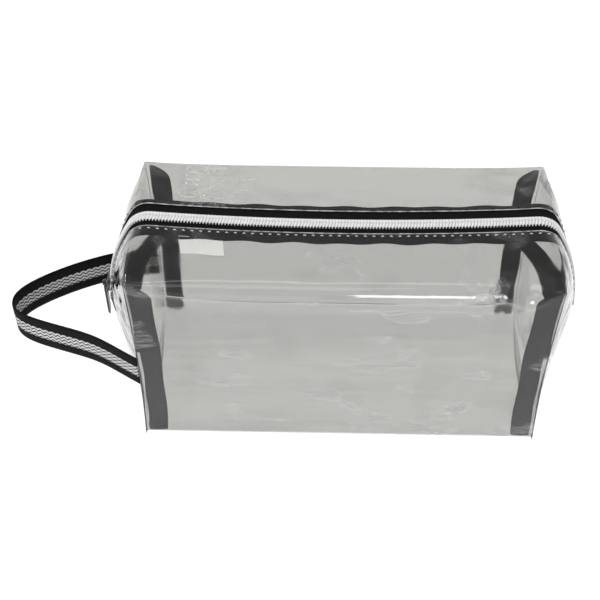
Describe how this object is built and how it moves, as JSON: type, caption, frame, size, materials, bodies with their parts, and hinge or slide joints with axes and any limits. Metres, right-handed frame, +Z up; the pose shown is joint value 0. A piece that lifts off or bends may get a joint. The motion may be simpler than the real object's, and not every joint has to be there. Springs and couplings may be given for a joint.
{
  "type": "clear makeup bag",
  "caption": "Clear film makeup bag, boxed, with a zipper that runs over the top and down both ends, black bound seams, and a webbing carry strap on one end.",
  "frame": {"origin": "centre of the flat base, on the surface that the bag stands on", "axes": "+X along the zipper away from the carry strap, +Y to the back, +Z up"},
  "size_m": [0.3569, 0.1094, 0.1421],
  "materials": {
    "clear_film": "clear flexible vinyl film, glossy, slightly grey",
    "zipper_tape": "woven black tape",
    "zipper_coil": "white nylon coil",
    "thread": "white sewing thread",
    "binding": "black nonwoven binding tape",
    "webbing": "black webbing with a white woven stripe",
    "slider_metal": "black painted zinc",
    "pull_metal": "black painted zinc",
    "label": "blank white satin label"
  },
  "bodies": {
    "bag": {"panel_front": "clear_film", "panel_rear": "clear_film", "panel_base": "clear_film", "lip_front": "clear_film", "lip_rear": "clear_film", "end_upper_front_left": "clear_film", "end_upper_rear_left": "clear_film", "end_upper_front_right": "clear_film", "end_upper_rear_right": "clear_film", "end_lower_left": "clear_film", "end_lower_right": "clear_film", "zipper_tape_front": "zipper_tape", "zipper_tape_rear": "zipper_tape", "zipper_coil_front": "zipper_coil", "zipper_coil_rear": "zipper_coil", "topstitch_front": "thread", "topstitch_rear": "thread", "corner_binding_front_left": "binding", "corner_binding_rear_left": "binding", "corner_binding_front_right": "binding", "corner_binding_rear_right": "binding", "end_seam_binding_left": "binding", "end_seam_binding_right": "binding", "strap_end_front": "webbing", "strap_end_rear": "webbing", "care_label": "label"},
    "slider": {"slider_body": "slider_metal", "slider_bail": "slider_metal"},
    "pull": {"pull_tab": "pull_metal"},
    "carry_strap": {"strap_loop": "webbing"}
  },
  "joints": [
    {"name": "strap_swing", "type": "hinge", "parent": "bag", "child": "carry_strap", "pos_m": [-0.139, -0.04325, 0.06051], "axis": [0, 0.9948, -0.1023], "range_deg": [-30, 45]},
    {"name": "slider_travel", "type": "hinge", "parent": "bag", "child": "slider", "pos_m": [-0.02, 0, 0.07], "axis": [0, 1, 0], "range_deg": [0, 20]},
    {"name": "pull_swing", "type": "hinge", "parent": "slider", "child": "pull", "pos_m": [-0.14898, 0, 0.08368], "axis": [0, 1, 0], "range_deg": [0, 165]}
  ]
}
